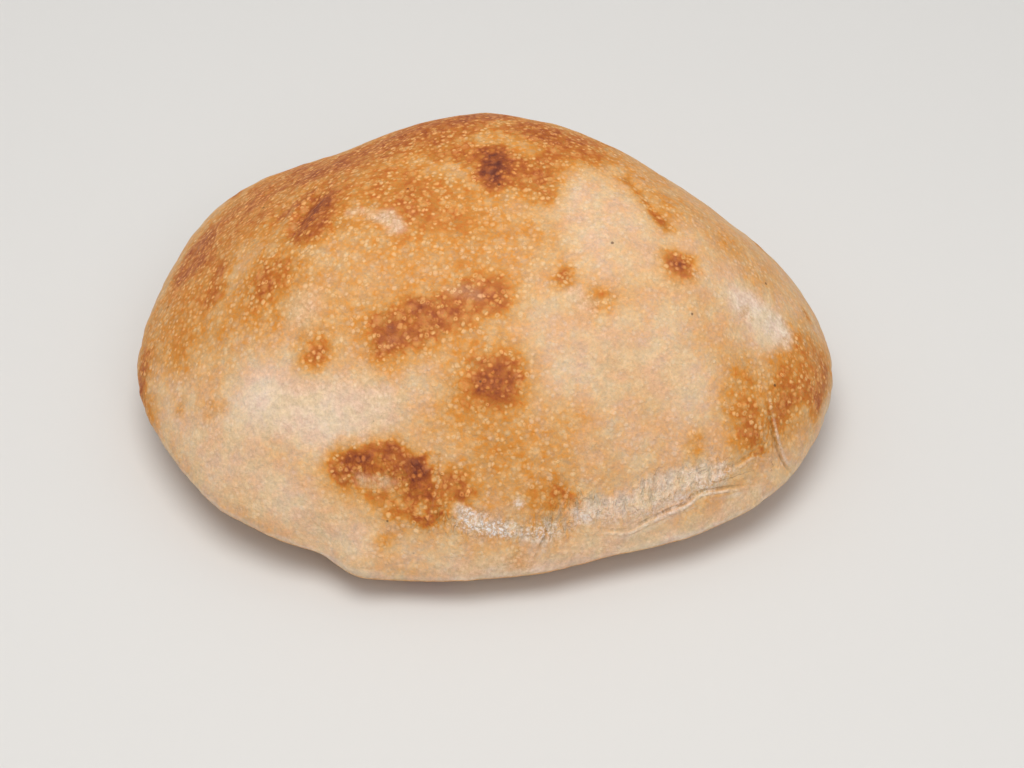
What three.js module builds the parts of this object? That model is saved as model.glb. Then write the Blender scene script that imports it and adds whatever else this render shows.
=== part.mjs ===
// A pocket flatbread that has ballooned in the oven: one puffed loaf, baked as one piece.
//
// Millimetres, +Z up, +X along the longest side. The loaf rests on the flat of its underside at z = 0,
// and the origin is on that face, under the middle of the plan.
import * as THREE from "three";
import { mergeVertices } from "three/addons/utils/BufferGeometryUtils.js";

// The rim, where the upper and lower crusts join, as [x, y, height above the table].
// It runs anticlockwise from the right end, and dips towards the table along the front.
const rimPoints = [
  [104, 0, 16],
  [93, 44, 18],
  [57, 74, 21],
  [-6, 96, 24],
  [-62, 92, 23],
  [-104, 73, 22],
  [-121, 4, 19],
  [-108, -32, 19],
  [-87, -57, 16],
  [-58, -71, 12],
  [-40, -77, 9],
  [-8, -78, 9],
  [30, -70, 10],
  [79, -49, 13],
];

// The highest point of the upper crust before its swells are added. It lies behind the middle.
const crown = { x: 2, y: 36, height: 80 };

// Broad swells of the upper crust, and hollows where the height is negative.
const swells = [
  { x: -62, y: 72, radius: 34, height: -7 },
  { x: -4, y: 70, radius: 36, height: 4 },
  { x: 70, y: 52, radius: 30, height: -9 },
  { x: -60, y: 4, radius: 36, height: 7 },
  { x: 62, y: -2, radius: 36, height: 7 },
  { x: 4, y: -34, radius: 40, height: 5 },
];

// How the upper crust falls from the crown to the rim: a higher spread keeps the crown broad,
// and a fall under 1 makes the crust meet the rim steeply.
const upperCrust = { spread: 2.1, fall: 0.78 };

// The underside is flat out to this share of the way to the rim, and then curls up to it.
const underside = { flatShare: 0.52, curl: 2, fall: 0.7 };

const rimCrowding = 0.7; // under 1 draws the mesh's rows closer together near the rim
const faceSteps = 28; // squares along one edge of the cube that the mesh starts as

const rim = new THREE.CatmullRomCurve3(
  rimPoints.map(([x, y, z]) => new THREE.Vector3(x, y, z)),
  true,
  "centripetal",
);

// A closed mesh of nearly equal squares on the unit sphere, made from the faces of a cube.
function cubeSphere(steps) {
  const geometry = new THREE.BoxGeometry(2, 2, 2, steps, steps, steps);
  geometry.deleteAttribute("normal");
  geometry.deleteAttribute("uv");
  const merged = mergeVertices(geometry, 1e-5);
  const position = merged.getAttribute("position");
  const point = new THREE.Vector3();
  for (let i = 0; i < position.count; i++) {
    point.fromBufferAttribute(position, i);
    for (const axis of ["x", "y", "z"]) {
      point[axis] = Math.tan((point[axis] * Math.PI) / 4);
    }
    point.normalize();
    position.setXYZ(i, point.x, point.y, point.z);
  }
  return merged;
}

// How much the swells raise the upper crust over a plan point. They fade out at the rim.
function swellHeight(x, y, fade) {
  let height = 0;
  for (const swell of swells) {
    const distance = Math.hypot(x - swell.x, y - swell.y) / swell.radius;
    height += swell.height * Math.exp(-distance * distance);
  }
  return height * Math.sqrt(fade);
}

// A point of the upper crust, a share of the way from the crown to one point of the rim.
function upperPoint(edge, share) {
  const rise = (1 - share ** upperCrust.spread) ** upperCrust.fall;
  const x = crown.x + (edge.x - crown.x) * share;
  const y = crown.y + (edge.y - crown.y) * share;
  const z = edge.z + (crown.height - edge.z) * rise;
  return new THREE.Vector3(x, y, z + swellHeight(x, y, rise));
}

// A point of the underside, a share of the way from its middle to one point of the rim.
function lowerPoint(edge, share) {
  const beyondFlat = Math.max(0, share - underside.flatShare) / (1 - underside.flatShare);
  const rise = 1 - (1 - beyondFlat ** underside.curl) ** underside.fall;
  return new THREE.Vector3(edge.x * share, edge.y * share, edge.z * rise);
}

function loafGeometry() {
  const geometry = cubeSphere(faceSteps);
  const position = geometry.getAttribute("position");
  const direction = new THREE.Vector3();
  for (let i = 0; i < position.count; i++) {
    direction.fromBufferAttribute(position, i);
    const bearing = Math.atan2(direction.y, direction.x) / (2 * Math.PI);
    const edge = rim.getPoint((bearing + 1) % 1);
    const steepness = Math.asin(Math.abs(direction.z)); // a quarter turn at the crown, 0 at the rim
    const share = Math.max(0, Math.cos(steepness)) ** rimCrowding;
    const point = direction.z >= 0 ? upperPoint(edge, share) : lowerPoint(edge, share);
    position.setXYZ(i, point.x, point.y, point.z);
  }
  return geometry;
}

// Puts the origin under the middle of the plan, on the resting face.
function centreOnBase(geometry) {
  geometry.computeBoundingBox();
  const { min, max } = geometry.boundingBox;
  geometry.translate(-(min.x + max.x) / 2, -(min.y + max.y) / 2, -min.z);
  return geometry;
}

const crust = new THREE.MeshStandardMaterial({
  color: 0xd9a566,
  roughness: 0.6,
  metalness: 0,
});

const loaf = new THREE.Mesh(centreOnBase(loafGeometry()), crust);
loaf.name = "pita_loaf";

const pita = new THREE.Group();
pita.add(loaf);

export default pita;
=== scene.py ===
import math
import random

import bmesh
import bpy
import numpy as np
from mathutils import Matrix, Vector, noise
from mathutils.bvhtree import BVHTree
from mathutils.kdtree import KDTree


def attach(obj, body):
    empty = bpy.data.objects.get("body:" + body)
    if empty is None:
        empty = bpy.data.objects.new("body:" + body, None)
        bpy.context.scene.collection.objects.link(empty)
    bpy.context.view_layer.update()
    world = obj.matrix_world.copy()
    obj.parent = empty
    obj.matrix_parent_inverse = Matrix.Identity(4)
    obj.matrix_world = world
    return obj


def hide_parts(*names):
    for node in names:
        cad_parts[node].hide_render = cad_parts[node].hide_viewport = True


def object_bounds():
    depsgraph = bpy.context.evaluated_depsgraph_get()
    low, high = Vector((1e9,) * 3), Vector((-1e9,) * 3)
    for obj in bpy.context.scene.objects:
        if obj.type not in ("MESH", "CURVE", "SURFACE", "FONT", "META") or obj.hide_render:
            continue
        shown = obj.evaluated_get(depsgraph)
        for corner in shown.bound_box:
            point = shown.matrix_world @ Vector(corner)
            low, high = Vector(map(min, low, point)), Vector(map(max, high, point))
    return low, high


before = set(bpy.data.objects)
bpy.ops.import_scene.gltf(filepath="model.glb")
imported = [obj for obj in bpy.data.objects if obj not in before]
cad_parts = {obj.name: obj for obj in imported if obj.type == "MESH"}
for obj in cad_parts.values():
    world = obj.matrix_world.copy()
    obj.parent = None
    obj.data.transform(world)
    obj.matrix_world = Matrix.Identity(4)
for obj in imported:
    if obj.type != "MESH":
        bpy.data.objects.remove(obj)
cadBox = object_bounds()
mm = 0.001


# small helpers

def linear(red, green, blue):
    # screen colour, 0 to 255, into the linear value that a socket wants
    return tuple(((c / 255 + 0.055) / 1.055) ** 2.4 for c in (red, green, blue)) + (1.0,)


def smoothStep(low, high, x):
    t = np.clip((x - low) / (high - low), 0, 1)
    return t * t * (3 - 2 * t)


def newMeshObject(name, bm):
    mesh = bpy.data.meshes.new(name)
    bm.to_mesh(mesh)
    bm.free()
    obj = bpy.data.objects.new(name, mesh)
    bpy.context.scene.collection.objects.link(obj)
    return obj


# the loaf's shape: a ball of even squares, blown up inside the solid until it fits

loafShape = {
    "doublings": 7,            # the starting cube's edges are halved this many times
    "reach": (112, 88, 42),    # mm, spreads the ball's points evenly over the loaf
    "middleHeight": 20,        # mm, the point that the ball is blown up from
    "roundings": 14,           # smoothing passes, which soften the rim
    "swell": 0.4,              # mm, gives back what the smoothing takes
    "probeHeights": (-50, 150),    # mm, well under and well over the loaf
    "rimHeight": 16,           # mm
}


def startingBall(doublings):
    bm = bmesh.new()
    bmesh.ops.create_cube(bm, size=2)
    for _ in range(doublings):
        bmesh.ops.subdivide_edges(bm, edges=bm.edges[:], cuts=1, use_grid_fill=True)
    for v in bm.verts:
        v.co = Vector([math.tan(c * math.pi / 4) for c in v.co]).normalized()
    return bm


def mergedCopy(name):
    bm = bmesh.new()
    bm.from_mesh(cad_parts[name].data)
    bmesh.ops.remove_doubles(bm, verts=bm.verts[:], dist=0.01 * mm)
    return bm


def wrapOnSolid(bm, solid, shape):
    tree = BVHTree.FromBMesh(solid)
    middle = Vector((0, 0, shape["middleHeight"] * mm))
    for v in bm.verts:
        aim = Vector([c * r for c, r in zip(v.co, shape["reach"])])
        v.co = tree.ray_cast(middle, aim.normalized())[0]


def softenSurface(bm, passes):
    for _ in range(passes):
        bmesh.ops.smooth_vert(bm, verts=bm.verts[:], factor=0.5,
                              use_axis_x=True, use_axis_y=True, use_axis_z=True)


class Sculpt:
    # the loaf's points as arrays in mm, with brushes that move them or measure them

    def __init__(self, bm):
        self.bm = bm
        self.refresh()

    def refresh(self):
        self.bm.normal_update()
        self.co = np.array([v.co for v in self.bm.verts]) / mm
        self.normal = np.array([v.normal for v in self.bm.verts])
        self.tree = BVHTree.FromBMesh(self.bm)

    def push(self, amount):
        # moves every point along its normal, by an amount in mm
        self.co += self.normal * np.asarray(amount).reshape(-1, 1)
        for v, place in zip(self.bm.verts, self.co):
            v.co = Vector(place * mm)
        self.refresh()

    def drop(self, x, y, under=False):
        # the crust's point over, or under, a place on the plan
        below, above = loafShape["probeHeights"]
        start = Vector((x, y, below if under else above)) * mm
        hit = self.tree.ray_cast(start, Vector((0, 0, 1 if under else -1)))[0]
        if hit is None:      # outside the plan, so the nearest of the rim
            hit = self.tree.find_nearest(Vector((x, y, loafShape["rimHeight"])) * mm)[0]
        return np.array(hit) / mm

    def route(self, places, under=False, pitch=2.0):
        # points every pitch mm or so along a smooth (Catmull-Rom) line through places on the plan
        line = [self.drop(x, y, under) for x, y in places]
        if len(line) == 1:
            return np.array(line)
        steps = []
        padded = [2 * line[0] - line[1], *line, 2 * line[-1] - line[-2]]
        for a, b, c, d in zip(padded, padded[1:], padded[2:], padded[3:]):
            count = max(2, int(np.linalg.norm(c - b) / pitch))
            for t in np.arange(count) / count:
                steps.append(0.5 * (2 * b + (c - a) * t + (2 * a - 5 * b + 4 * c - d) * t ** 2
                                    + (3 * b - a - 3 * c + d) * t ** 3))
        return np.array([*steps, line[-1]])

    def distance(self, path, reach, places=None):
        # each point's distance to a route, and its nearest route point, worked out within reach only
        places = self.co if places is None else places
        near = np.all((places > path.min(0) - reach) & (places < path.max(0) + reach), axis=1)
        away = np.full(len(places), np.inf)
        which = np.zeros(len(places), int)
        gaps = np.linalg.norm(places[near][:, None] - path[None], axis=2)
        away[near] = gaps.min(1)
        which[near] = gaps.argmin(1)
        return away, which


noiseLook = {
    "falloff": 0.6, "growth": 2.1,    # how fast the octaves weaken, and how much finer each one is
    "fieldStep": (17.3, 5.1, 9.7),    # how far the next seed's noise is from this one's
    "shakeStep": (11.9, 3.7, 7.3),
    "vectorSeed": 7,
}
noise.seed_set(noiseLook["vectorSeed"])    # without it, noise_vector is different at every run


def noiseField(places, size, seed, octaves=2):
    # smooth noise between about -1 and 1 at every point
    shift = Vector([seed * step for step in noiseLook["fieldStep"]])
    falloff, growth = noiseLook["falloff"], noiseLook["growth"]
    return np.array([noise.fractal(Vector(p) / size + shift, falloff, growth, octaves) for p in places])


def warped(places, size, amount, seed):
    # the points' places shaken by noise, so that brush marks get ragged edges
    shift = Vector([seed * step for step in noiseLook["shakeStep"]])
    shake = np.array([noise.noise_vector(Vector(p) / size + shift) for p in places])
    return places + shake * amount


# creases: a route on the plan, then mm. A ridge stands to the right of the valley, along the route,
# and line is how sharply the crust's material draws the crease as a groove with painted shade in it, from 0
# to 1.
creases = [
    # the long fold over the front lip, and the edge of the slack skin above it
    {"route": [(36, -76), (43, -75), (48, -73), (55, -70), (60, -68), (65, -65), (71, -63), (79, -60)],
     "width": 1.4, "depth": 0.7, "ridge": 0.5, "ridgeGap": 1.7, "line": 1.0},
    {"route": [(70, -61), (77, -57), (81, -54), (86, -52)],
     "width": 1.4, "depth": 0.5, "ridge": 0.4, "ridgeGap": 1.8, "line": 0.5},
    # short folds that run up from the rim
    {"route": [(-17, -78), (-15, -73), (-13, -66)],
     "width": 2.2, "depth": 1.2, "ridge": 0.8, "ridgeGap": 2.6, "line": 0.2},
    {"route": [(95, -50), (92, -49.5), (89, -47), (87, -43)],
     "width": 1.5, "depth": 1.2, "ridge": 0.7, "ridgeGap": 1.8, "line": 0.9},
    {"route": [(15, -84), (18, -80), (20, -77), (23, -73)],
     "width": 1.5, "depth": 0.7, "ridge": 0.4, "ridgeGap": 1.8, "line": 0.6},
    # soft dents high on the dome
    {"route": [(44, 20), (50, 9), (54, 0)],
     "width": 2.2, "depth": 0.8, "ridge": 0.3, "ridgeGap": 3.2, "line": 0.0},
    {"route": [(-51, 20), (-56, 10), (-60, -1)],
     "width": 3.4, "depth": 1.1, "ridge": 0.8, "ridgeGap": 5.2, "line": 0.0},
]
creaseShape = {
    "pitch": 0.5,                     # mm, between the points of a route
    "reach": 8, "ridgeReach": 3,      # in the crease's own widths
    "ends": 0.5,                      # how blunt the ends are: 0 square, 1 long and soft
    "unevenness": 0.45, "unevenSize": 5, "seed": 31,
}

# rounded swells and dents: a place on the plan, then radius and height in mm
lumps = [
    {"place": (100, -27), "radius": 14, "height": 3.0},
    {"place": (81, -47), "radius": 9, "height": 1.1},
    {"place": (-30, -69), "radius": 12, "height": 0.9},
    {"place": (3, -52), "radius": 9, "height": 0.8},
    {"place": (-13, -35), "radius": 12, "height": 0.7},
    {"place": (-60, 11), "radius": 12, "height": -1.5},
    {"place": (3, 23), "radius": 12, "height": 0.8},
    {"place": (72, -67), "radius": 10, "height": -0.8},
    {"place": (31, -74), "radius": 9, "height": -0.8},
    {"place": (-36, -84), "radius": 7, "height": 1.8},
    {"place": (-51, -81), "radius": 7, "height": -2.0},
    # the back: two slack hollows and a puffed shoulder
    {"place": (-38, 74), "radius": 15, "height": -1.4},
    {"place": (48, 66), "radius": 12, "height": -1.2},
    {"place": (8, 78), "radius": 18, "height": 1.2},
]

crustTexture = {
    "broadSize": 46, "broadHeight": 0.9,      # mm, slow unevenness of the whole loaf
    "lumpSize": 13, "lumpHeight": 0.30,       # mm, the dough's own lumps
    "puckerSize": 6, "puckerHeight": 0.45,    # mm, small puckers along the rim
    "puckerSquash": 0.25,                     # under 1 makes them taller than wide
    "blisterCount": 900, "blisterSize": (1.2, 3.2), "blisterHeight": (0.10, 0.36),    # mm
    "rawShare": 0.15, "toastShare": 1.3,      # of a blister's height: on raw crust, and added by full toast
    "blisterReach": 2.2,                      # in its own sizes
    "restingBand": (0.5, 3.5),                # mm, the texture fades out down to the resting face
    "seed": 7,
}


def creaseFrame(sculpt, crease, shape):
    # each point's distance to a crease, its signed distance across it, and the crease's fade at its ends
    path = sculpt.route(crease["route"], pitch=shape["pitch"])
    away, which = sculpt.distance(path, shape["reach"] * crease["width"])
    along = np.gradient(path, axis=0)[which]
    side = np.cross(sculpt.normal, along)
    side /= np.maximum(np.linalg.norm(side, axis=1, keepdims=True), 1e-9)
    across = ((sculpt.co - path[which]) * side).sum(1)
    fade = np.sin(np.pi * np.clip((which + 1) / (len(path) + 1), 0, 1)) ** shape["ends"]
    return away, across, fade


def pressCreases(sculpt, shape):
    total = np.zeros(len(sculpt.co))
    for crease in creases:
        away, across, fade = creaseFrame(sculpt, crease, shape)
        valley = np.exp(-(away / crease["width"]) ** 2)
        ridge = np.exp(-((across + crease["ridgeGap"]) / crease["width"]) ** 2)
        ridge *= np.exp(-(away / (shape["ridgeReach"] * crease["width"])) ** 4)    # cut off beside the crease
        total += fade * (crease["ridge"] * ridge - crease["depth"] * valley)
    uneven = 1 + shape["unevenness"] * noiseField(sculpt.co, shape["unevenSize"], shape["seed"])
    sculpt.push(total * uneven)


def raiseLumps(sculpt):
    total = np.zeros(len(sculpt.co))
    for lump in lumps:
        away = np.linalg.norm(sculpt.co - sculpt.drop(*lump["place"]), axis=1)
        total += lump["height"] * np.exp(-(away / lump["radius"]) ** 2)
    sculpt.push(total)


def roughenCrust(sculpt, look):
    co = sculpt.co
    rest = smoothStep(*look["restingBand"], co[:, 2])
    broad = noiseField(co, look["broadSize"], look["seed"]) * look["broadHeight"]
    small = noiseField(co, look["lumpSize"], look["seed"] + 1, 3) * look["lumpHeight"]
    upright = 1 - np.abs(sculpt.normal[:, 2])   # 1 where the crust stands upright, at the rim
    squashed = co * (1, 1, look["puckerSquash"])
    pucker = noiseField(squashed, look["puckerSize"], look["seed"] + 2) * look["puckerHeight"]
    sculpt.push((broad + small + pucker * upright ** 2) * rest)


def raiseBlisters(sculpt, look, toast):
    # the hotter the crust got, the higher its blisters stand
    draw = random.Random(look["seed"])
    total = np.zeros(len(sculpt.co))
    finder = KDTree(len(sculpt.co))
    for i, place in enumerate(sculpt.co):
        finder.insert(place, i)
    finder.balance()
    for _ in range(look["blisterCount"]):
        middle = draw.randrange(len(sculpt.co))
        size = draw.uniform(*look["blisterSize"])
        share = look["rawShare"] + look["toastShare"] * toast[middle]
        height = draw.uniform(*look["blisterHeight"]) * share
        for _, i, away in finder.find_range(sculpt.co[middle], look["blisterReach"] * size):
            total[i] = max(total[i], height * math.exp(-(away / size) ** 2))
    sculpt.push(total * smoothStep(*look["restingBand"], sculpt.co[:, 2]))


# what the oven did, and in the back band and the left-back flank also painted shade. Toast levels: 0 raw,
# 0.25 straw, 0.5 golden, 0.65 brown, 1 scorched.
# A stroke is a route on the plan and a size in mm. Its halo toasts the crust round it at least to that level.

toastBase = 0.26
broadBakeAndShade = [
    {"route": [(-66, -12), (-40, -20), (-14, -22)], "size": 30, "level": 0.33},
    {"route": [(-90, -18), (-72, -24)], "size": 14, "level": 0.38},
    {"route": [(-48, 8), (-24, 4), (-4, -6)], "size": 23, "level": 0.45},
    {"route": [(-30, 8), (-22, 4)], "size": 11, "level": 0.52},
    # the band behind the crown and the steep left-back flank: toasted, and darker still as painted shade
    # where these slopes face away from the light
    {"route": [(-64, 40), (-42, 40), (-15, 44), (11, 42), (30, 34)], "size": 22, "level": 0.60},
    {"route": [(-94, 30), (-92, 12), (-101, -4)], "size": 19, "level": 0.47},
    {"route": [(-76, 24), (-84, 38)], "size": 17, "level": 0.52},
    {"route": [(44, 28), (60, 10), (78, -2)], "size": 15, "level": 0.39},
    {"route": [(28, 8), (36, -4), (47, -12), (64, -10)], "size": 13, "level": 0.20},
    {"route": [(28, -38), (44, -44), (58, -50)], "size": 20, "level": 0.19},
    {"route": [(78, -14), (86, -19), (91, -14)], "size": 12, "level": 0.13},
    {"route": [(-99, -38), (-84, -54), (-62, -68), (-44, -82)], "size": 14, "level": 0.18},
    {"route": [(-66, -50), (-48, -54), (-34, -55)], "size": 14, "level": 0.13},
    {"route": [(0, -60), (6, -66), (20, -69)], "size": 15, "level": 0.41},
    {"route": [(36, -60), (56, -60)], "size": 11, "level": 0.26},
    {"route": [(27, -74), (45, -70), (62, -63)], "size": 8, "level": 0.20},
    {"route": [(-20, -88), (14, -86), (45, -80), (76, -66), (96, -46)], "size": 7, "level": 0.22},
    {"route": [(-50, 92), (-8, 98), (40, 86), (84, 58)], "size": 10, "level": 0.20},
]

toastStrokes = [
    # toasted patches
    {"route": [(-6, 21), (3, 19), (12, 16)], "size": 8, "level": 0.58, "halo": 0.52},
    {"route": [(16, 14), (18, 7)], "size": 4.5, "level": 0.56, "halo": 0.48},
    {"route": [(-50, 12), (-54, 2)], "size": 6.2, "level": 0.64, "halo": 0.54},
    {"route": [(-57, 20), (-63, 14)], "size": 3.2, "level": 0.60},
    {"route": [(-58, -4)], "size": 2.4, "level": 0.66},
    {"route": [(-66, -14)], "size": 8, "level": 0.55, "halo": 0.45},
    {"route": [(-83, 3), (-84, -8)], "size": 5.5, "level": 0.54},
    {"route": [(-96, 14), (-95, 28)], "size": 6, "level": 0.61, "halo": 0.54},
    {"route": [(-50, -39)], "size": 4.8, "level": 0.53, "halo": 0.40},
    {"route": [(-27, -39), (-20, -36), (-10, -34), (2, -30)], "size": 7, "level": 0.61, "halo": 0.42},
    {"route": [(3, -52)], "size": 7.5, "level": 0.64, "halo": 0.47},
    {"route": [(-40, -67), (-33, -67), (-25, -69), (-18, -73)], "size": 5.2, "level": 0.59, "halo": 0.42},
    {"route": [(-29, -74), (-21, -77)], "size": 5.0, "level": 0.51, "halo": 0.38},
    {"route": [(-20, -70), (-17, -77)], "size": 4.6, "level": 0.64},
    {"route": [(-8, -73)], "size": 5.2, "level": 0.60, "halo": 0.47},
    {"route": [(-13, -66), (-14, -70), (-17, -77)], "size": 1.4, "level": 0.40},
    {"route": [(23, -23)], "size": 3.6, "level": 0.55, "halo": 0.34},
    {"route": [(35, -29)], "size": 5.5, "level": 0.46, "halo": 0.30},
    {"route": [(58, -14)], "size": 4.6, "level": 0.60, "halo": 0.42},
    {"route": [(45, 17), (50, 8), (54, 0)], "size": 2.2, "level": 0.53, "halo": 0.40},
    {"route": [(80, -20)], "size": 3.2, "level": 0.36},
    {"route": [(103, -1)], "size": 2.8, "level": 0.48},
    {"route": [(79, -39), (79, -46), (81, -51)], "size": 6, "level": 0.46, "halo": 0.37},
    {"route": [(64, -57)], "size": 3.2, "level": 0.40, "halo": 0.32},
    {"route": [(90, -40), (97, -31), (104, -25), (106, -18)], "size": 7, "level": 0.52, "halo": 0.43},
    {"route": [(99, -24), (102, -14)], "size": 6, "level": 0.50, "halo": 0.40},
    {"route": [(16, -73), (26, -74)], "size": 3.6, "level": 0.46},
    {"route": [(-109, -12), (-110, -22), (-107, -30)], "size": 5, "level": 0.60, "halo": 0.44},
    {"route": [(-94, -36)], "size": 3.8, "level": 0.38},
    {"route": [(-81, -45)], "size": 4, "level": 0.34},
    {"route": [(-28, -82)], "size": 4.0, "level": 0.38},
    {"route": [(11, -84)], "size": 4, "level": 0.42},
    # paler gaps between them
    {"route": [(2, 31), (14, 26)], "size": 5.5, "level": 0.38},
    {"route": [(-17, 18), (-7, 15)], "size": 4.0, "level": 0.38},
    {"route": [(-6, 40), (4, 42)], "size": 5, "level": 0.50},
    # their scorched hearts
    {"route": [(2, 23), (5, 12)], "size": 5.2, "level": 0.71},
    {"route": [(3, 19), (5, 14)], "size": 3.8, "level": 0.82},
    {"route": [(-9, 22), (-5, 20)], "size": 3.2, "level": 0.67},
    {"route": [(-51, 11), (-54, 4)], "size": 3.6, "level": 0.73},
    {"route": [(-25, -38), (-20, -36)], "size": 4.0, "level": 0.61},
    {"route": [(3, -30)], "size": 4, "level": 0.65},
    {"route": [(3, -52)], "size": 5.2, "level": 0.75},
    {"route": [(-19, -69), (-17, -74)], "size": 3.8, "level": 0.71},
    {"route": [(-38, -65), (-28, -66)], "size": 2.8, "level": 0.70},
    {"route": [(-43, -67)], "size": 2.6, "level": 0.58},
    {"route": [(-7, -74)], "size": 2.8, "level": 0.68},
    {"route": [(58, -14)], "size": 2.4, "level": 0.70},
    {"route": [(80, -46), (82, -52)], "size": 3.6, "level": 0.54},
    {"route": [(90, -41), (94, -37)], "size": 3.2, "level": 0.57},
    {"route": [(108, -18), (105, -28)], "size": 3.6, "level": 0.58},
    {"route": [(-110, -22)], "size": 3, "level": 0.68},
    # the back
    {"route": [(26, 70), (40, 66)], "size": 10, "level": 0.60, "halo": 0.50},
    {"route": [(34, 68)], "size": 5, "level": 0.72},
    {"route": [(-30, 80), (-16, 84)], "size": 9, "level": 0.58, "halo": 0.48},
    {"route": [(-66, 66)], "size": 7, "level": 0.63, "halo": 0.52},
    {"route": [(-86, 56)], "size": 4, "level": 0.58},
    {"route": [(74, 46)], "size": 6, "level": 0.57, "halo": 0.42},
    {"route": [(90, 26)], "size": 4, "level": 0.48},
]

# flour, or bare dry skin, and on the front fold also painted highlight: 1 is full cover
flourStrokes = [
    {"route": [(-30, -3), (-27, -7)], "size": 3.6, "level": 0.66},
    {"route": [(-42, 0), (-34, -1)], "size": 2.4, "level": 0.45},
    {"route": [(-54, -28)], "size": 9, "level": 0.35},
    {"route": [(-11, -27), (-3, -30)], "size": 3, "level": 0.45},
    {"route": [(-28, -41), (-22, -39)], "size": 4, "level": 0.22},
    {"route": [(26, -29), (32, -32)], "size": 4, "level": 0.42},
    {"route": [(30, -4), (44, -12), (58, -20)], "size": 12, "level": 0.22},
    {"route": [(80, -17), (91, -18)], "size": 8.5, "level": 0.62},
    {"route": [(34, -44), (58, -46)], "size": 14, "level": 0.25},
    {"route": [(-66, -50), (-48, -54), (-34, -55)], "size": 12, "level": 0.42},
    {"route": [(-84, -50), (-60, -70), (-40, -80)], "size": 12, "level": 0.26},
    {"route": [(-35, -70), (-27, -72)], "size": 3.6, "level": 0.46},
    {"route": [(1, 22), (2, 20)], "size": 3, "level": 0.24},
    # over the front fold's shelf and crest this whitish cover is flour and also painted highlight, standing
    # in for the taut skin's shine
    {"route": [(-8, -77), (0, -80), (9, -80)], "size": 3.2, "level": 0.62},
    {"route": [(8, -80), (22, -80)], "size": 3.2, "level": 0.50},
    {"route": [(10, -75)], "size": 3, "level": 0.60},
    {"route": [(28, -75), (45, -70), (58, -65), (68, -61)], "size": 5.6, "level": 0.62},
    {"route": [(-61, 14), (-59, 6)], "size": 2.4, "level": 0.35},
    {"route": [(-10, -87), (30, -83), (60, -73), (84, -59)], "size": 5, "level": 0.35},
    {"route": [(-40, 90), (0, 96), (44, 84)], "size": 9, "level": 0.40},
]

# taut skin that shines: lower roughness, and painted white highlights in its colour
sheenStrokes = [
    {"route": [(-7, -78), (0, -80), (9, -80)], "size": 3.6, "level": 1.0},
    {"route": [(9, -80), (20, -79)], "size": 3, "level": 0.6},
    {"route": [(10, -75)], "size": 2.6, "level": 0.7},
    {"route": [(27, -76), (42, -74), (60, -67), (72, -61)], "size": 2.8, "level": 0.38},
]

# slack skin in fine wrinkles
wrinkleStrokes = [
    {"route": [(-12, -79), (8, -80), (22, -78)], "size": 6, "level": 1.0},
    {"route": [(26, -75), (45, -70), (60, -64), (70, -60)], "size": 6.5, "level": 1.0},
    {"route": [(84, -50), (88, -45)], "size": 4, "level": 0.7},
    {"route": [(-36, -69), (-22, -71)], "size": 6, "level": 0.6},
    {"route": [(-60, 12), (-58, 4)], "size": 5, "level": 0.5},
]

undersideBake = {
    "base": 0.36, "flour": 0.22,
    "spots": 38, "size": (3, 10), "level": (0.50, 0.80), "drift": 9, "reach": 0.86, "seed": 21,
}

rimLook = {
    "upright": (0.93, 0.99),      # how upright the crust stands where the rim is
    "paler": 0.10, "flour": 0.20,
}


brush = {
    # where a mark fades out, in its own sizes
    "edge": (0.25, 1.45), "broadEdge": (0.0, 1.6), "haloEdge": (0.7, 2.3), "reach": 2.4,
    # the noise that makes edges ragged: size and amount in mm, then the seed
    "coarseShake": (12, 2.6, 3), "fineShake": (3.6, 1.7, 4), "broadShake": (22, 7, 5),
    "undersideTurn": 0.45,      # how far down a face looks, from 0 to 1, where the underside's bake is full
    "foldReach": 12,            # mm, the farthest that a point's fold is looked for
    "foldFade": (4, 7),         # mm from a fold, where its drawing fades out
}


def paintStrokes(sculpt, strokes, start, ragged, edge=brush["edge"], under=False):
    # start is one level, or one for each point
    layer = np.zeros(len(sculpt.co)) + start
    for stroke in strokes:
        path = sculpt.route(stroke["route"], under)
        share = sculpt.distance(path, brush["reach"] * stroke["size"], ragged)[0] / stroke["size"]
        if "halo" in stroke:
            rise = np.maximum(stroke["halo"] - layer, 0)
            layer += rise * (1 - smoothStep(*brush["haloEdge"], share))
        layer += (stroke["level"] - layer) * (1 - smoothStep(*edge, share))
    return layer


def undersideStrokes(look):
    # round spots where the loaf touched the oven's floor
    draw = random.Random(look["seed"])
    strokes = []
    for _ in range(look["spots"]):
        turn = draw.uniform(0, 2 * math.pi)
        out = math.sqrt(draw.random()) * look["reach"]
        size = draw.uniform(*look["size"])
        place = (cadBox[1].x / mm * out * math.cos(turn), cadBox[1].y / mm * out * math.sin(turn))
        end = tuple(c + draw.uniform(-look["drift"], look["drift"]) for c in place)
        strokes.append({"route": [place, end], "size": size, "level": draw.uniform(*look["level"])})
    return strokes


def foldLayers(sculpt):
    # the signed distance to the nearest crease in mm, and how sharply that crease is drawn as a groove with
    # painted shade
    nearest = np.full(len(sculpt.co), float(brush["foldReach"]))
    gap = nearest.copy()
    sharp = np.zeros(len(sculpt.co))
    for crease in creases:
        away, across, fade = creaseFrame(sculpt, crease, creaseShape)
        mine = (away < nearest) & (crease["line"] > 0)
        nearest[mine] = away[mine]
        gap[mine] = across[mine]
        sharp[mine] = (crease["line"] * fade * (1 - smoothStep(*brush["foldFade"], away)))[mine]
    return gap, sharp


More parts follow.
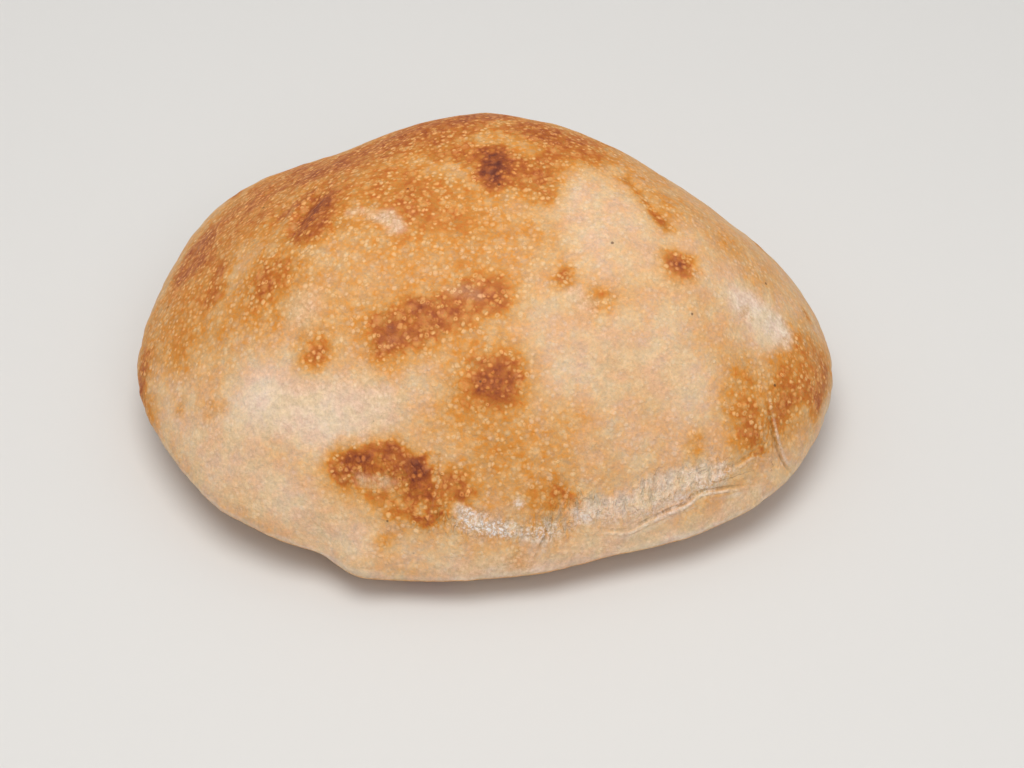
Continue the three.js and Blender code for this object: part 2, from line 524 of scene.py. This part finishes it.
def bakeLayers(sculpt):
    below = smoothStep(0.0, brush["undersideTurn"], -sculpt.normal[:, 2])
    ragged = warped(warped(sculpt.co, *brush["coarseShake"]), *brush["fineShake"])
    raggedBroad = warped(sculpt.co, *brush["broadShake"])
    broad = paintStrokes(sculpt, broadBakeAndShade, toastBase, raggedBroad, edge=brush["broadEdge"])
    top = paintStrokes(sculpt, toastStrokes, broad, ragged)
    spots = undersideStrokes(undersideBake)
    bottom = paintStrokes(sculpt, spots, undersideBake["base"], ragged, under=True)
    flour = paintStrokes(sculpt, flourStrokes, 0, ragged)
    upright = np.sqrt(np.maximum(0, 1 - sculpt.normal[:, 2] ** 2))
    rim = smoothStep(*rimLook["upright"], upright)
    gap, sharp = foldLayers(sculpt)
    flour = flour * (1 - below) + undersideBake["flour"] * below + rimLook["flour"] * rim
    return {
        "toast": top * (1 - below) + bottom * below - rimLook["paler"] * rim,
        "flour": np.clip(flour, 0, 1),
        "sheen": paintStrokes(sculpt, sheenStrokes, 0, ragged) * (1 - below),
        "wrinkle": paintStrokes(sculpt, wrinkleStrokes, 0, ragged) * (1 - below),
        "foldGap": gap,
        "foldSharp": sharp * (1 - below),
    }


def makeLoaf():
    bm = startingBall(loafShape["doublings"])
    solid = mergedCopy("pita_loaf")
    wrapOnSolid(bm, solid, loafShape)
    solid.free()
    softenSurface(bm, loafShape["roundings"])
    sculpt = Sculpt(bm)
    sculpt.push(np.full(len(sculpt.co), loafShape["swell"]))
    print("loaf wrapped:", len(bm.verts), "points")
    raiseLumps(sculpt)
    pressCreases(sculpt, creaseShape)
    roughenCrust(sculpt, crustTexture)
    layers = bakeLayers(sculpt)
    raiseBlisters(sculpt, crustTexture, layers["toast"])
    lowest = min(v.co.z for v in bm.verts)
    bmesh.ops.translate(bm, verts=bm.verts[:], vec=(0, 0, -lowest))
    loaf = newMeshObject("pitaLoaf", bm)
    for name, values in layers.items():
        attribute = loaf.data.attributes.new(name, "FLOAT", "POINT")
        attribute.data.foreach_set("value", values.astype(np.float32))
    loaf.data.shade_smooth()
    print("loaf sculpted and baked")
    return loaf


# shader nodes

def feed(tree, socket, value):
    if isinstance(value, bpy.types.NodeSocket):
        tree.links.new(value, socket)
    else:
        socket.default_value = value


def node(tree, kind, settings=None, **values):
    # adds a node, sets its options, and fills or links its inputs, by name or as in0, in1 and so on
    made = tree.nodes.new("ShaderNode" + kind)
    for key, value in (settings or {}).items():
        setattr(made, key, value)
    for key, value in values.items():
        place = int(key[2:]) if key[2:].isdigit() else key.replace("_", " ")
        feed(tree, made.inputs[place], value)
    return made


def maths(tree, operation, a, b=0.0, clamp=False):
    return node(tree, "Math", {"operation": operation, "use_clamp": clamp}, in0=a, in1=b).outputs[0]


def times(tree, first, *others):
    for other in others:
        first = maths(tree, "MULTIPLY", first, other)
    return first


def plus(tree, first, *others):
    for other in others:
        first = maths(tree, "ADD", first, other)
    return first


def minus(tree, a, b, clamp=False):
    return maths(tree, "SUBTRACT", a, b, clamp)


def remap(tree, value, low, high, newLow=0.0, newHigh=1.0, smooth=False):
    kind = "SMOOTHSTEP" if smooth else "LINEAR"
    return node(tree, "MapRange", {"interpolation_type": kind}, Value=value, From_Min=low, From_Max=high,
                To_Min=newLow, To_Max=newHigh).outputs["Result"]


def between(tree, mask, ends):
    # goes from the first end to the second as the mask goes from 0 to 1
    return remap(tree, mask, 0.0, 1.0, *ends)


def mixColour(tree, factor, a, b):
    # inputs 6 and 7 and output 2 are the node's sockets for colours
    return node(tree, "Mix", {"data_type": "RGBA"}, Factor=factor, in6=a, in7=b).outputs[2]


def ramp(tree, factor, stops):
    made = node(tree, "ValToRGB", None, Fac=factor)
    band = made.color_ramp
    while len(band.elements) < len(stops):
        band.elements.new(0.5)
    for element, (place, colour) in zip(band.elements, stops):
        element.position = place
        element.color = colour
    return made.outputs["Color"]


def newGroup(name, inputs, outputs):
    # inputs are (name, kind, start value), and outputs (name, kind)
    group = bpy.data.node_groups.new(name, "ShaderNodeTree")
    for label, kind, value in inputs:
        socket = group.interface.new_socket(label, in_out="INPUT", socket_type="NodeSocket" + kind)
        if value is not None:
            socket.default_value = value
    for label, kind in outputs:
        group.interface.new_socket(label, in_out="OUTPUT", socket_type="NodeSocket" + kind)
    return group, group.nodes.new("NodeGroupInput"), group.nodes.new("NodeGroupOutput")


def placeGroup(tree, group, **values):
    made = tree.nodes.new("ShaderNodeGroup")
    made.node_tree = group
    for key, value in values.items():
        feed(tree, made.inputs[key.replace("_", " ")], value)
    return made


bubbleShape = {
    "shake": {"Scale": 420.0, "Detail": 2.0}, "shakeReach": 0.0014,    # m, puts the bubbles out of line
    "reach": (0.42, 0.70),          # from the smallest bubble to the largest, in cell sizes
    "domed": 0.3,                   # the share of the reach inside which the top is flat
    "strength": (0.25, 1.0),
    "ringsFrom": (0.62, 0.72),      # bubbles drawn over this chance are only rings
    "hole": (0.5, 0.1), "holeDepth": 0.75,      # a ring's middle, in shares of its reach
}


def makeBubbleGroup(shape):
    # the skin's fine bubbles: Dome is how high they stand, Pale how light, and some are only pale rings
    group, given, out = newGroup(
        "skinBubbles",
        [("Vector", "Vector", None), ("Size mm", "Float", 2.0)],
        [("Dome", "Float"), ("Pale", "Float")])
    spot = given.outputs["Vector"]
    scale = maths(group, "DIVIDE", 1 / mm, given.outputs["Size mm"])
    shake = node(group, "TexNoise", None, Vector=spot, **shape["shake"]).outputs["Color"]
    nudge = node(group, "VectorMath", {"operation": "SCALE"}, in0=shake, Scale=shape["shakeReach"]).outputs[0]
    spot = node(group, "VectorMath", {"operation": "ADD"}, in0=spot, in1=nudge).outputs[0]
    cells = node(group, "TexVoronoi", {"feature": "F1"}, Vector=spot, Scale=scale)
    chance = node(group, "SeparateColor", None, Color=cells.outputs["Color"])
    reach = between(group, chance.outputs[0], shape["reach"])
    share = maths(group, "DIVIDE", cells.outputs["Distance"], reach)
    dome = remap(group, share, 1.0, shape["domed"], smooth=True)
    strength = between(group, chance.outputs[1], shape["strength"])
    ringed = remap(group, chance.outputs[2], *shape["ringsFrom"])
    hole = times(group, remap(group, share, *shape["hole"], smooth=True), ringed)
    pale = minus(group, dome, times(group, hole, shape["holeDepth"]))
    feed(group, out.inputs["Dome"], times(group, dome, strength))
    feed(group, out.inputs["Pale"], times(group, pale, strength))
    return group


grainShape = {
    "marble": {"Detail": 4.0, "Roughness": 0.62, "Distortion": 0.35},
    "tooth": {"Scale": 1100.0, "Detail": 2.0, "Roughness": 0.65},
    "spread": (0.32, 0.68, -1.0, 1.0),      # the noise's usual range, made -1 to 1
}


def makeGrainGroup(shape):
    # the dough's marbled grain, and a finer tooth over it
    group, given, out = newGroup(
        "doughGrain",
        [("Vector", "Vector", None), ("Size mm", "Float", 3.0)],
        [("Marble", "Float"), ("Tooth", "Float")])
    spot = given.outputs["Vector"]
    scale = maths(group, "DIVIDE", 1 / mm, given.outputs["Size mm"])
    marble = node(group, "TexNoise", None, Vector=spot, Scale=scale, **shape["marble"]).outputs["Fac"]
    tooth = node(group, "TexNoise", None, Vector=spot, **shape["tooth"]).outputs["Fac"]
    feed(group, out.inputs["Marble"], remap(group, marble, *shape["spread"]))
    feed(group, out.inputs["Tooth"], remap(group, tooth, *shape["spread"]))
    return group


# the crust's finish. A Range holds the two values between which a mask rises from 0 to 1, and a Spread
# also the two that they become. Other pairs of numbers are for pale crust and for toasted crust.

crustLook = {
    "toastedRange": (0.10, 0.55),           # toast levels
    "scorchedRange": (0.53, 0.70),
    "bubbleSize": 1.7, "largeBubbleSize": 3.4, "grainSize": 2.6,     # mm
    "largeBubbleShare": 0.5,
    "middlePale": 0.42,                     # the bubbles' mean, which neither lightens nor darkens
    "patches": {"Scale": 75.0, "Detail": 6.0, "Roughness": 0.65}, "patchSpread": (0.3, 0.7, -1.0, 1.0),
    "streakScale": (560, 260, 260), "streakSpread": (0.35, 0.65, -1.0, 1.0),
    "streaks": {"Scale": 1.0, "Detail": 3.0, "Roughness": 0.6, "Distortion": 0.8},
    "foldRange": (0.7, 0.1), "foldRidgeGap": 1.2,     # mm
    "foldSpread": (-0.7, 0.5, 0.25, 1.0),   # the share of a fold that is drawn, by the grain
    # the toast level's colours, and how far each pattern shifts the level on pale and on toasted crust
    "stops": [
        (0.00, linear(234, 214, 194)),
        (0.15, linear(226, 193, 158)),
        (0.28, linear(222, 174, 122)),
        (0.40, linear(218, 158, 90)),
        (0.50, linear(214, 140, 54)),
        (0.61, linear(199, 113, 36)),
        (0.72, linear(171, 86, 30)),
        (0.86, linear(122, 54, 29)),
        (1.00, linear(72, 32, 26)),
    ],
    "bubbleShift": (0.04, 0.18), "grainShift": (0.03, 0.10), "toothShift": (0.01, 0.05),
    "patchShift": 0.10, "streakShift": 0.13,
    # on toasted and on scorched crust: the bubbles' share of their shift, and of their tops' own colour
    "scorchedShift": (1.0, 0.8), "topShare": (0.34, 0.08), "bubbleTop": linear(240, 206, 156),
    # flour
    "flour": linear(234, 218, 200), "toastedFlour": linear(218, 178, 132),
    "flourMarble": 0.20, "flourTooth": 0.12, "flourPatch": 0.14, "flourBreakRange": (0.05, 0.65),
    "flourRange": (0.10, 1.0), "flourOnRidge": 0.9, "flourOffLine": 0.5,
    "flourToastRange": (0.45, 0.75), "flourCover": (0.85, 0.6),
    # pinker and yellower places on pale crust
    "blush": linear(226, 182, 166), "straw": linear(222, 192, 136), "tintShare": 0.30,
    "tintRange": (0.5, 0.15), "blushRange": (0.50, 0.62), "strawRange": (0.50, 0.38),
    "blotches": {"Scale": 150.0, "Detail": 2.0, "Roughness": 0.55},
    # how much each pattern lightens or darkens the colour
    "toothShade": (0.08, 0.15), "grainShade": 0.11, "bubbleShade": 0.28, "streakShade": 0.16,
    # the last one is painted shade, darkening the colour along the fold lines
    "paintedFoldShade": 0.5,
    # painted highlights: white glints mixed into the colour of taut skin; and burnt specks
    "paintedGlint": linear(246, 242, 240), "paintedGlintCover": 0.85,
    "paintedGlintRange": (-0.1, 0.5), "paintedGlintPatchRange": (-0.6, 0.3),
    "speck": linear(70, 40, 24), "speckScale": 60.0, "speckRange": (0.036, 0.02), "speckCover": 0.7,
    # surface
    "roughness": (0.64, 0.56), "roughnessRange": (0.2, 0.7), "grainRoughness": 0.06, "flourRoughness": 0.15,
    "sheenRoughness": 0.24, "sheenPatchRange": (0.35, 0.6),
    "specular": 0.28,
    "glow": 0.08, "glowColour": (1.0, 0.45, 0.2), "glowReach": 2,     # mm, light soaking through the crust
    "bumpDepth": 0.45,                      # mm, and each pattern's share of it
    "bubbleHeight": (0.12, 0.45), "largeBubbleHeight": 0.25, "grainHeight": 0.16, "toothHeight": 0.06,
    "streakHeight": 0.55, "ridgeHeight": 0.8, "lineHeight": 0.8,
}


def crustMasks(tree, look, bubbleGroup, grainGroup):
    # the painted layers and the patterns, which colour, roughness and height share
    place = node(tree, "TexCoord").outputs["Object"]
    mask = {name: node(tree, "Attribute", {"attribute_name": name}).outputs["Fac"]
            for name in ("toast", "flour", "sheen", "wrinkle", "foldGap", "foldSharp")}
    mask["place"] = place
    mask["toasted"] = remap(tree, mask["toast"], *look["toastedRange"])
    mask["scorched"] = remap(tree, mask["toast"], *look["scorchedRange"])
    grain = placeGroup(tree, grainGroup, Vector=place, Size_mm=look["grainSize"])
    small = placeGroup(tree, bubbleGroup, Vector=place, Size_mm=look["bubbleSize"])
    large = placeGroup(tree, bubbleGroup, Vector=place, Size_mm=look["largeBubbleSize"])
    mask["marble"] = grain.outputs["Marble"]
    mask["tooth"] = grain.outputs["Tooth"]
    mask["dome"] = small.outputs["Dome"]
    mask["largeDome"] = large.outputs["Dome"]
    largePale = times(tree, large.outputs["Pale"], look["largeBubbleShare"])
    mask["pale"] = maths(tree, "MAXIMUM", small.outputs["Pale"], largePale)
    mask["centred"] = minus(tree, mask["pale"], look["middlePale"])
    mask["patches"] = node(tree, "TexNoise", None, Vector=place, **look["patches"]).outputs["Fac"]
    mask["patch"] = remap(tree, mask["patches"], *look["patchSpread"])
    mask["streak"] = slackStreaks(tree, look, mask)
    mask["line"], mask["ridge"] = foldMarks(tree, look, mask)
    mask["level"] = toastLevel(tree, look, mask)
    mask["dust"] = flourDust(tree, look, mask)
    return mask


def slackStreaks(tree, look, mask):
    # slack skin wrinkles down the slope, in streaks that are narrow along X
    squeezed = node(tree, "VectorMath", {"operation": "MULTIPLY"}, in0=mask["place"], in1=look["streakScale"])
    streaks = node(tree, "TexNoise", None, Vector=squeezed.outputs[0], **look["streaks"]).outputs["Fac"]
    return times(tree, remap(tree, streaks, *look["streakSpread"]), mask["wrinkle"])


def foldMarks(tree, look, mask):
    # a fold is a dark line of painted shade with a thin pale ridge below it, and both come and go
    broken = times(tree, mask["foldSharp"], remap(tree, mask["marble"], *look["foldSpread"]))
    ridgeGap = plus(tree, mask["foldGap"], look["foldRidgeGap"])
    marks = []
    for gap in (mask["foldGap"], ridgeGap):
        near = remap(tree, maths(tree, "ABSOLUTE", gap), *look["foldRange"], smooth=True)
        marks.append(times(tree, near, broken))
    return marks


def toastLevel(tree, look, mask):
    # the painted toast level, broken up by every pattern
    bubbleShift = times(tree, between(tree, mask["toasted"], look["bubbleShift"]),
                        between(tree, mask["scorched"], look["scorchedShift"]))
    level = plus(tree, mask["toast"],
                 times(tree, mask["patch"], look["patchShift"]),
                 times(tree, mask["marble"], between(tree, mask["toasted"], look["grainShift"])),
                 times(tree, mask["tooth"], between(tree, mask["toasted"], look["toothShift"])),
                 times(tree, mask["streak"], look["streakShift"]))
    return minus(tree, level, times(tree, mask["centred"], bubbleShift))


def flourDust(tree, look, mask):
    # flour lies unevenly, and it catches on the folds' ridges
    speckle = plus(tree, times(tree, mask["marble"], look["flourMarble"]),
                   times(tree, mask["tooth"], look["flourTooth"]),
                   times(tree, mask["patch"], look["flourPatch"]))
    speckle = times(tree, speckle, remap(tree, mask["flour"], *look["flourBreakRange"]))
    dust = remap(tree, plus(tree, mask["flour"], speckle), *look["flourRange"], smooth=True)
    dust = maths(tree, "MAXIMUM", dust, times(tree, mask["ridge"], look["flourOnRidge"]))
    return minus(tree, dust, times(tree, mask["line"], look["flourOffLine"]), clamp=True)


def crustShade(tree, look, mask):
    # what the fine mottling multiplies the colour by, less the painted shade along the fold lines
    lit = times(tree, mask["centred"], mask["toasted"], look["bubbleShade"])
    shade = plus(tree, 1.0,
                 times(tree, mask["tooth"], between(tree, mask["toasted"], look["toothShade"])),
                 times(tree, mask["marble"], look["grainShade"]),
                 lit,
                 times(tree, mask["streak"], look["streakShade"]))
    # painted shade: the colour darkened along each fold line
    return minus(tree, shade, times(tree, mask["line"], look["paintedFoldShade"]))


def crustColour(tree, look, mask):
    colour = ramp(tree, mask["level"], look["stops"])
    tops = times(tree, mask["pale"], mask["toasted"], between(tree, mask["scorched"], look["topShare"]))
    colour = mixColour(tree, tops, colour, look["bubbleTop"])

    burnt = remap(tree, mask["level"], *look["flourToastRange"])
    flour = mixColour(tree, burnt, look["flour"], look["toastedFlour"])
    cover = times(tree, mask["dust"], between(tree, burnt, look["flourCover"]))
    colour = mixColour(tree, cover, colour, flour)

    blotches = node(tree, "TexNoise", None, Vector=mask["place"], **look["blotches"]).outputs["Fac"]
    tinted = times(tree, remap(tree, mask["level"], *look["tintRange"]), look["tintShare"])
    for tint, where in (("blush", "blushRange"), ("straw", "strawRange")):
        colour = mixColour(tree, times(tree, remap(tree, blotches, *look[where]), tinted), colour, look[tint])
    shade = crustShade(tree, look, mask)
    colour = node(tree, "VectorMath", {"operation": "SCALE"}, in0=colour, Scale=shade).outputs[0]

    # painted highlight: white glints on the taut skin, mixed into the base colour
    paintedGlint = times(tree, remap(tree, mask["tooth"], *look["paintedGlintRange"]), mask["sheen"],
                  remap(tree, mask["patch"], *look["paintedGlintPatchRange"]), look["paintedGlintCover"])
    colour = mixColour(tree, paintedGlint, colour, look["paintedGlint"])
    specks = node(tree, "TexVoronoi", {"feature": "F1"}, Vector=mask["place"], Scale=look["speckScale"])
    speck = remap(tree, specks.outputs["Distance"], *look["speckRange"], smooth=True)
    return mixColour(tree, times(tree, speck, look["speckCover"]), colour, look["speck"])


def crustRoughness(tree, look, mask):
    rough = plus(tree, remap(tree, mask["toast"], *look["roughnessRange"], *look["roughness"]),
                 times(tree, mask["marble"], look["grainRoughness"]),
                 times(tree, mask["dust"], look["flourRoughness"]))
    shine = times(tree, mask["sheen"], remap(tree, mask["patches"], *look["sheenPatchRange"]))
    gap = minus(tree, look["sheenRoughness"], rough)
    return maths(tree, "ADD", rough, times(tree, gap, shine), clamp=True)


def crustHeight(tree, look, mask):
    height = plus(tree, times(tree, mask["dome"], between(tree, mask["toasted"], look["bubbleHeight"])),
                  times(tree, mask["largeDome"], look["largeBubbleHeight"]),
                  times(tree, mask["marble"], look["grainHeight"]),
                  times(tree, mask["tooth"], look["toothHeight"]),
                  times(tree, mask["streak"], look["streakHeight"]),
                  times(tree, mask["ridge"], look["ridgeHeight"]))
    return minus(tree, height, times(tree, mask["line"], look["lineHeight"]))


def makeCrustMaterial(look, bubbleGroup, grainGroup):
    material = bpy.data.materials.new("bakedCrust")
    material.use_nodes = True
    tree = material.node_tree
    shader = tree.nodes["Principled BSDF"]
    mask = crustMasks(tree, look, bubbleGroup, grainGroup)
    tree.links.new(crustColour(tree, look, mask), shader.inputs["Base Color"])
    tree.links.new(crustRoughness(tree, look, mask), shader.inputs["Roughness"])
    bump = node(tree, "Bump", None, Height=crustHeight(tree, look, mask), Distance=look["bumpDepth"] * mm,
                Strength=1.0)
    tree.links.new(bump.outputs["Normal"], shader.inputs["Normal"])
    shader.inputs["Subsurface Weight"].default_value = look["glow"]
    shader.inputs["Subsurface Radius"].default_value = look["glowColour"]
    shader.inputs["Subsurface Scale"].default_value = look["glowReach"] * mm
    shader.inputs["Specular IOR Level"].default_value = look["specular"]
    return material


loaf = makeLoaf()
crust = makeCrustMaterial(crustLook, makeBubbleGroup(bubbleShape), makeGrainGroup(grainShape))
loaf.data.materials.append(crust)
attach(loaf, "root")
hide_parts("pita_loaf")
print("crust finished")


# the studio: a pale floor that curves up into a wall all round, and two soft panels

studio = {
    "flat": 1.2, "curve": 0.8, "wall": 0.6,       # m
    "curveSteps": 12, "roundSteps": 64,
    "floorColour": linear(222, 220, 216), "floorRoughness": 0.75,
    "paperNoise": {"Scale": 3.0, "Detail": 3.0}, "paperShade": 0.97,
    "skyColour": linear(240, 244, 250), "skyStrength": 0.62,
}
lamps = [
    {"name": "overheadPanel", "place": (-0.08, -0.10, 1.25), "size": 0.9, "power": 8.8,
     "colour": (1.0, 0.97, 0.94)},
    {"name": "frontPanel", "place": (0.45, -1.0, 1.0), "size": 0.8, "power": 2.8,
     "colour": (1.0, 0.98, 0.96)},
]
view = {
    "elevation": 45.1, "distance": 0.6, "aim": (0.0085, -0.0094, 0.014),    # degrees, m, m
    "lens": 64.7, "sensor": 36, "nearest": 0.01,                            # mm, mm, m
}


def makeFloor(look):
    bm = bmesh.new()
    profile = [(0, 0), (look["flat"], 0)]
    for step in range(1, look["curveSteps"] + 1):
        turn = math.pi / 2 * step / look["curveSteps"]
        profile.append((look["flat"] + look["curve"] * math.sin(turn), look["curve"] * (1 - math.cos(turn))))
    profile.append((look["flat"] + look["curve"], look["curve"] + look["wall"]))
    points = [bm.verts.new((x, 0, z)) for x, z in profile]
    edges = [bm.edges.new(pair) for pair in zip(points, points[1:])]
    bmesh.ops.spin(bm, geom=points + edges, cent=(0, 0, 0), axis=(0, 0, 1), dvec=(0, 0, 0),
                   angle=2 * math.pi, steps=look["roundSteps"], use_merge=True, use_duplicate=False)
    bmesh.ops.remove_doubles(bm, verts=bm.verts[:], dist=0.01 * mm)
    bmesh.ops.recalc_face_normals(bm, faces=bm.faces[:])
    floor = newMeshObject("studioFloor", bm)
    floor.data.shade_smooth()
    material = bpy.data.materials.new("palePaper")
    material.use_nodes = True
    tree = material.node_tree
    shader = tree.nodes["Principled BSDF"]
    place = node(tree, "TexCoord").outputs["Object"]
    mottle = node(tree, "TexNoise", None, Vector=place, **look["paperNoise"]).outputs["Fac"]
    pale = look["floorColour"]
    shade = tuple(c * look["paperShade"] for c in pale[:3]) + (1.0,)
    tree.links.new(mixColour(tree, mottle, pale, shade), shader.inputs["Base Color"])
    shader.inputs["Roughness"].default_value = look["floorRoughness"]
    floor.data.materials.append(material)


def makeLamps():
    for lamp in lamps:
        data = bpy.data.lights.new(lamp["name"], "AREA")
        data.shape = "DISK"
        data.size = lamp["size"]
        data.energy = lamp["power"]
        data.color = lamp["colour"]
        obj = bpy.data.objects.new(lamp["name"], data)
        obj.location = lamp["place"]
        obj.rotation_euler = (-Vector(lamp["place"])).to_track_quat("-Z", "Y").to_euler()
        bpy.context.scene.collection.objects.link(obj)


def makeSky(look):
    world = bpy.data.worlds.new("studioSky")
    bpy.context.scene.world = world
    world.use_nodes = True
    background = world.node_tree.nodes["Background"]
    background.inputs["Color"].default_value = look["skyColour"]
    background.inputs["Strength"].default_value = look["skyStrength"]


def makeCamera(look):
    data = bpy.data.cameras.new("camera")
    data.lens = look["lens"]
    data.sensor_width = look["sensor"]
    data.clip_start = look["nearest"]
    camera = bpy.data.objects.new("camera", data)
    rise = math.radians(look["elevation"])
    back = Vector((0, -math.cos(rise), math.sin(rise)))
    camera.location = Vector(look["aim"]) + back * look["distance"]
    camera.rotation_euler = (-back).to_track_quat("-Z", "Y").to_euler()
    bpy.context.scene.collection.objects.link(camera)
    bpy.context.scene.camera = camera


makeFloor(studio)
makeLamps()
makeSky(studio)
makeCamera(view)
bpy.context.scene.view_settings.view_transform = "Standard"
print("studio set")
